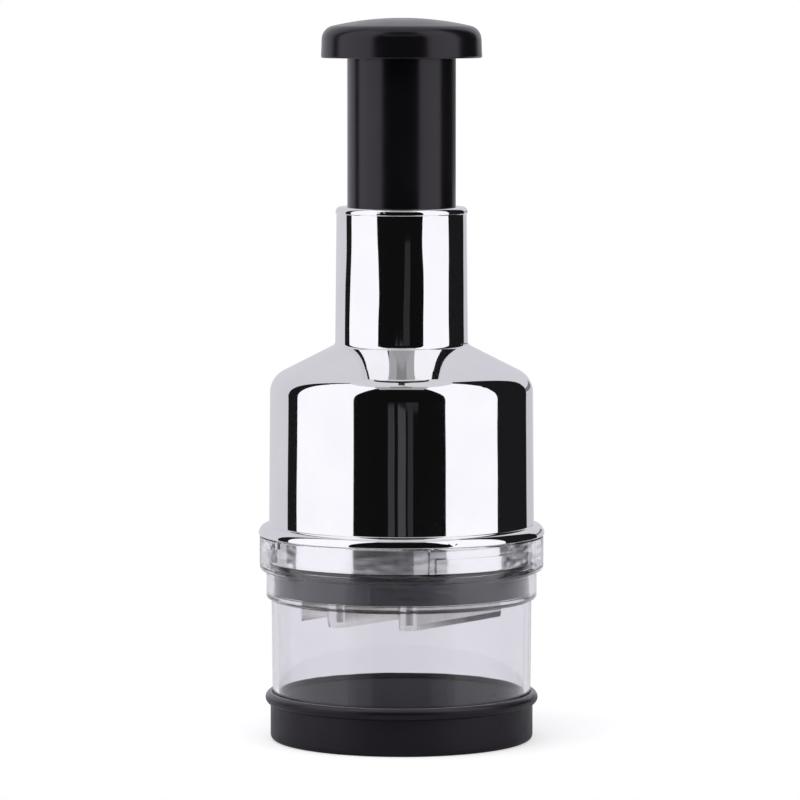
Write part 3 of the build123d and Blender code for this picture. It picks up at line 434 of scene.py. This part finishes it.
def coil_spring(finish):
    """The return spring as a wound wire with closed end turns."""
    low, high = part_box(SPRING_NODE)
    wire_r = SPRING_WIRE / 2
    coil_r = max(high.x - low.x, high.y - low.y) / 2 - wire_r
    rise = (high.z - low.z) - 2 * wire_r
    closed = SPRING_WIRE * SPRING_END_TURNS
    open_turns = SPRING_TURNS - 2 * SPRING_END_TURNS

    def height(turn):
        if turn < SPRING_END_TURNS:
            return SPRING_WIRE * turn
        if turn > SPRING_TURNS - SPRING_END_TURNS:
            return rise - SPRING_WIRE * (SPRING_TURNS - turn)
        return closed + (rise - 2 * closed) * (turn - SPRING_END_TURNS) / open_turns

    mesh = bmesh.new()
    rings = []
    for step in range(int(SPRING_TURNS * SPRING_STEPS_PER_TURN) + 1):
        turn = step / SPRING_STEPS_PER_TURN
        angle = math.tau * turn
        out = Vector((math.cos(angle), math.sin(angle), 0.0))
        centre = out * coil_r + Vector((0.0, 0.0, low.z + wire_r + height(turn)))
        ring = []
        for side in range(SPRING_SIDES):
            lean = math.tau * side / SPRING_SIDES
            lift = Vector((0.0, 0.0, wire_r * math.sin(lean)))
            ring.append(mesh.verts.new(centre + out * wire_r * math.cos(lean) + lift))
        rings.append(ring)
    for first, second in zip(rings, rings[1:]):
        for side in range(SPRING_SIDES):
            after = (side + 1) % SPRING_SIDES
            mesh.faces.new((first[side], first[after], second[after], second[side]))
    mesh.faces.new(rings[0][::-1])
    mesh.faces.new(rings[-1])
    bmesh.ops.recalc_face_normals(mesh, faces=mesh.faces)
    data = bpy.data.meshes.new("spring_coil")
    mesh.to_mesh(data)
    mesh.free()
    data.shade_smooth()
    data.materials.append(finish)
    coil = bpy.data.objects.new("spring_coil", data)
    scene.collection.objects.link(coil)
    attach(coil, "housing")
    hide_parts(SPRING_NODE)
    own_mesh(coil)


def glow(name, colour, strength, behind_cup=False):
    """A lit card. A ray that only came through the clear cup passes it, so the room behind shows.

    With behind_cup, the card shows only in what is seen through clear plastic.
    """
    made = bpy.data.materials.new(name)
    made.use_nodes = True
    tree = made.node_tree
    tree.nodes.remove(tree.nodes["Principled BSDF"])
    light = tree.nodes.new("ShaderNodeEmission")
    clear = tree.nodes.new("ShaderNodeBsdfTransparent")
    mix = tree.nodes.new("ShaderNodeMixShader")
    path = tree.nodes.new("ShaderNodeLightPath")
    light.inputs["Color"].default_value = (*colour, 1.0)
    light.inputs["Strength"].default_value = strength
    unmirrored = combine(tree, "LESS_THAN", path.outputs["Glossy Depth"], FIRST_BOUNCE)
    if behind_cup:
        outside = combine(tree, "LESS_THAN", path.outputs["Transmission Depth"], FIRST_BOUNCE)
        passing = combine(tree, "MAXIMUM", unmirrored, outside)
    else:
        passing = combine(tree, "MULTIPLY", unmirrored, path.outputs["Is Transmission Ray"])
    tree.links.new(passing, mix.inputs["Fac"])
    tree.links.new(light.outputs["Emission"], mix.inputs[1])
    tree.links.new(clear.outputs["BSDF"], mix.inputs[2])
    tree.links.new(mix.outputs["Shader"], tree.nodes["Material Output"].inputs["Surface"])
    return made


def hide_from_view(card):
    """A studio card that only reflections and soft light see."""
    card.visible_camera = False
    card.visible_shadow = False


def stage_mesh(name, mesh, material):
    """Puts a mesh on the stage, outside the part."""
    data = bpy.data.meshes.new(name)
    mesh.to_mesh(data)
    mesh.free()
    data.materials.append(material)
    made = bpy.data.objects.new(name, data)
    scene.collection.objects.link(made)
    return made


def ring_card(name, foot, top, low, high, radius, material):
    """A curved card between two angles at its foot and two at its top."""
    mesh = bmesh.new()
    count = max(2, int((foot[1] - foot[0]) / RING_STEP_DEG))
    columns = []
    for step in range(count + 1):
        column = []
        for (first, last), z in ((foot, low), (top, high)):
            turn = math.radians(first + (last - first) * step / count)
            spot = (math.sin(turn) * radius, -math.cos(turn) * radius, z)
            column.append(mesh.verts.new(spot))
        columns.append(column)
    for before, after in zip(columns, columns[1:]):
        mesh.faces.new((before[0], after[0], after[1], before[1]))
    hide_from_view(stage_mesh(name, mesh, material))


def flat_card(name, left, right, near, far, z, material):
    """A level card between two x and two y."""
    mesh = bmesh.new()
    corners = ((left, near), (right, near), (right, far), (left, far))
    mesh.faces.new([mesh.verts.new((x, y, z)) for x, y in corners])
    hide_from_view(stage_mesh(name, mesh, material))


def disc(name, radius, z, material):
    """A level round card or floor."""
    mesh = bmesh.new()
    bmesh.ops.create_circle(mesh, cap_ends=True, segments=DISC_SEGMENTS, radius=radius)
    for vert in mesh.verts:
        vert.co.z = z
    return stage_mesh(name, mesh, material)


def looked_at(tree, other, seen, rays):
    """A socket that is seen for the named kinds of ray and other for the rest."""
    path = tree.nodes.new("ShaderNodeLightPath")
    mapped = tree.nodes.new("ShaderNodeMapRange")
    mapped.inputs["To Min"].default_value = other
    mapped.inputs["To Max"].default_value = seen
    found = path.outputs[rays[0]]
    for ray in rays[1:]:
        found = combine(tree, "MAXIMUM", found, path.outputs[ray])
    tree.links.new(found, mapped.inputs["Value"])
    return mapped.outputs["Result"]


def floor_material():
    """Pale floor that keeps shadows: diffuse white, with a glow where it is looked at."""
    made = bpy.data.materials.new("pale_floor")
    made.use_nodes = True
    tree = made.node_tree
    tree.nodes.remove(tree.nodes["Principled BSDF"])
    plain = tree.nodes.new("ShaderNodeBsdfDiffuse")
    light = tree.nodes.new("ShaderNodeEmission")
    both = tree.nodes.new("ShaderNodeAddShader")
    plain.inputs["Color"].default_value = (FLOOR_ALBEDO, FLOOR_ALBEDO, FLOOR_ALBEDO, 1.0)
    seen = looked_at(tree, 0.0, FLOOR_GLOW, ("Is Camera Ray", "Is Transmission Ray"))
    tree.links.new(seen, light.inputs["Strength"])
    tree.links.new(plain.outputs["BSDF"], both.inputs[0])
    tree.links.new(light.outputs["Emission"], both.inputs[1])
    tree.links.new(both.outputs["Shader"], tree.nodes["Material Output"].inputs["Surface"])
    return made


def build_studio():
    """Cards, floor, white room and one soft lamp."""
    flag_radius = RING_RADIUS - RING_INSET
    dimmer_radius = flag_radius - RING_INSET
    fill_radius = dimmer_radius - RING_INSET
    for name, first, last, colour, strength in SCREENS:
        span = (first, last)
        ring_card(name, span, span, RING_LOW, RING_HIGH, RING_RADIUS, glow(name, colour, strength))
    for name, first, last, first_top, last_top, strength in FLAGS:
        foot = (first, last)
        top = (first_top, last_top)
        dark = glow(name, DARK, strength)
        ring_card(name, foot, foot, RING_LOW, FLAG_BEND, flag_radius, dark)
        ring_card(name + "_top", foot, top, FLAG_BEND, RING_HIGH, flag_radius, dark)
    for index, (first, last, low, high, colour, strength) in enumerate(DIMMERS):
        name = f"dimmer_{index}"
        span = (first, last)
        ring_card(name, span, span, low, high, dimmer_radius, glow(name, colour, strength))
    for index, (first, last, strength) in enumerate(FADES):
        soft = glow(f"fade_{index}", SOFT, strength)
        for side, span in (("right", (first, last)), ("left", (-last, -first))):
            ring_card(f"fade_{index}_{side}", span, span, CUP_FOOT, CUP_LEVEL, dimmer_radius, soft)
    for index, (first, last, low, high, strength) in enumerate(FILLS):
        name = f"fill_{index}"
        span = (first, last)
        soft = glow(name, SOFT, strength, behind_cup=True)
        ring_card(name, span, span, low, high, fill_radius, soft)
    for index, (left, right, near, far, strength) in enumerate(CANOPY):
        name = f"canopy_{index}"
        flat_card(name, left, right, near, far, CANOPY_Z, glow(name, COOL, strength))
    cover = glow("ceiling", COOL, CEILING_STRENGTH)
    hide_from_view(disc("ceiling", CEILING_RADIUS, RING_HIGH, cover))
    disc("floor", FLOOR_RADIUS, cad_box[0].z, floor_material())

    world = bpy.data.worlds.new("white_room")
    scene.world = world
    world.use_nodes = True
    tree = world.node_tree
    background = tree.nodes["Background"]
    background.inputs["Color"].default_value = (1.0, 1.0, 1.0, 1.0)
    rays = ("Is Camera Ray", "Is Glossy Ray", "Is Transmission Ray")
    tree.links.new(looked_at(tree, AMBIENT, WHITE, rays), background.inputs["Strength"])

    lamp = bpy.data.lights.new("key", "AREA")
    lamp.energy = KEY_POWER
    lamp.size = KEY_SIZE
    key = bpy.data.objects.new("key", lamp)
    scene.collection.objects.link(key)
    key.location = KEY_PLACE
    key.rotation_euler = (AIM - KEY_PLACE).to_track_quat("-Z", "Y").to_euler()
    key.visible_glossy = False
    key.visible_camera = False


def build_camera():
    """The photograph's view: straight from the front and slightly down."""
    data = bpy.data.cameras.new("camera")
    data.lens = LENS_MM
    data.sensor_width = SENSOR_MM
    camera = bpy.data.objects.new("camera", data)
    scene.collection.objects.link(camera)
    tilt = math.radians(CAMERA_TILT_DEG)
    back = Vector((0.0, -math.cos(tilt), math.sin(tilt)))
    camera.location = AIM + back * CAMERA_REACH
    camera.rotation_euler = (-back).to_track_quat("-Z", "Y").to_euler()
    scene.camera = camera


finishes = dress_nodes()
coil_spring(finishes["spring_steel"])
build_studio()
build_camera()
